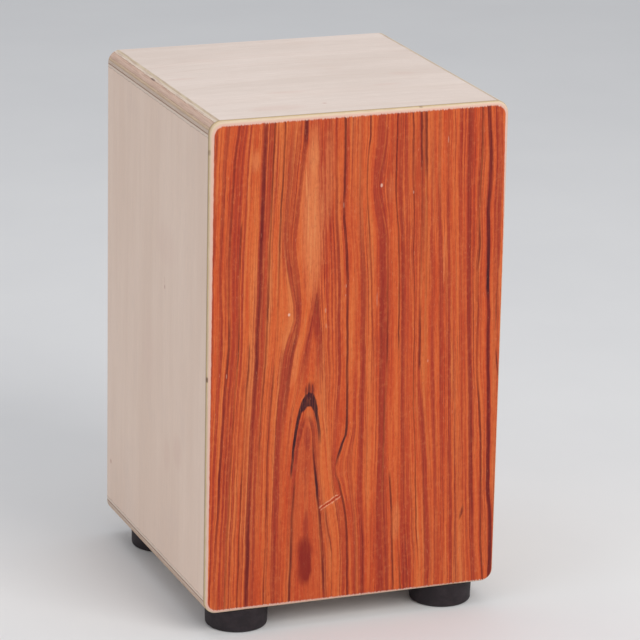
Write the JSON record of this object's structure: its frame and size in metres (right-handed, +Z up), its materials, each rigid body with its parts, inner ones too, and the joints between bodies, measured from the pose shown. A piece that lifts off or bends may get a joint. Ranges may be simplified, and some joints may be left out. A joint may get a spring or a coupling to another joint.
{
  "type": "cajon",
  "caption": "Box drum to sit on: plywood body, streaked veneer playing face, rear sound hole, swing-away snare wires and rubber feet.",
  "frame": {"origin": "on the floor under the middle of the drum's footprint", "axes": "+Z up; -Y is the way the playing face looks; +Y is the way the sound hole looks; +X is on the right seen from the front"},
  "size_m": [0.295, 0.301, 0.5],
  "materials": {
    "birch_ply": "satin clear lacquer, fine grain",
    "face_core": "sanded ply edge under clear lacquer",
    "face_veneer": "orange-red streaked veneer, vertical grain, satin lacquer",
    "spruce_block": "sawn, unfinished",
    "beech": "planed, unfinished",
    "felt": "pressed felt",
    "foot_rubber": "matt",
    "zinc_steel": "zinc plated",
    "snare_wire": "bright coiled wire"
  },
  "bodies": {
    "drum": {"top_panel": "birch_ply", "bottom_panel": "birch_ply", "left_side_panel": "birch_ply", "right_side_panel": "birch_ply", "back_panel": "birch_ply", "tapa_core": "face_core", "tapa_veneer": "face_veneer", "corner_block_top_left": "spruce_block", "corner_block_top_right": "spruce_block", "corner_block_bottom_left": "spruce_block", "corner_block_bottom_right": "spruce_block", "snare_block_left": "spruce_block", "snare_block_right": "spruce_block", "felt_washer_left": "felt", "felt_washer_right": "felt", "foot_front_left": "foot_rubber", "foot_front_right": "foot_rubber", "foot_rear_left": "foot_rubber", "foot_rear_right": "foot_rubber", "foot_washers": "zinc_steel", "foot_screws": "zinc_steel"},
    "snare": {"snare_beam": "beech", "pivot_dowel_left": "beech", "pivot_dowel_right": "beech", "snare_clip_left": "zinc_steel", "snare_clip_right": "zinc_steel", "clip_screws": "zinc_steel", "snare_strands_left": "snare_wire", "snare_strands_right": "snare_wire"}
  },
  "joints": [
    {"name": "snare_swing", "type": "hinge", "parent": "drum", "child": "snare", "pos_m": [0, -0.1285, 0.3], "axis": [1, 0, 0], "range_deg": [-14, 0]}
  ]
}
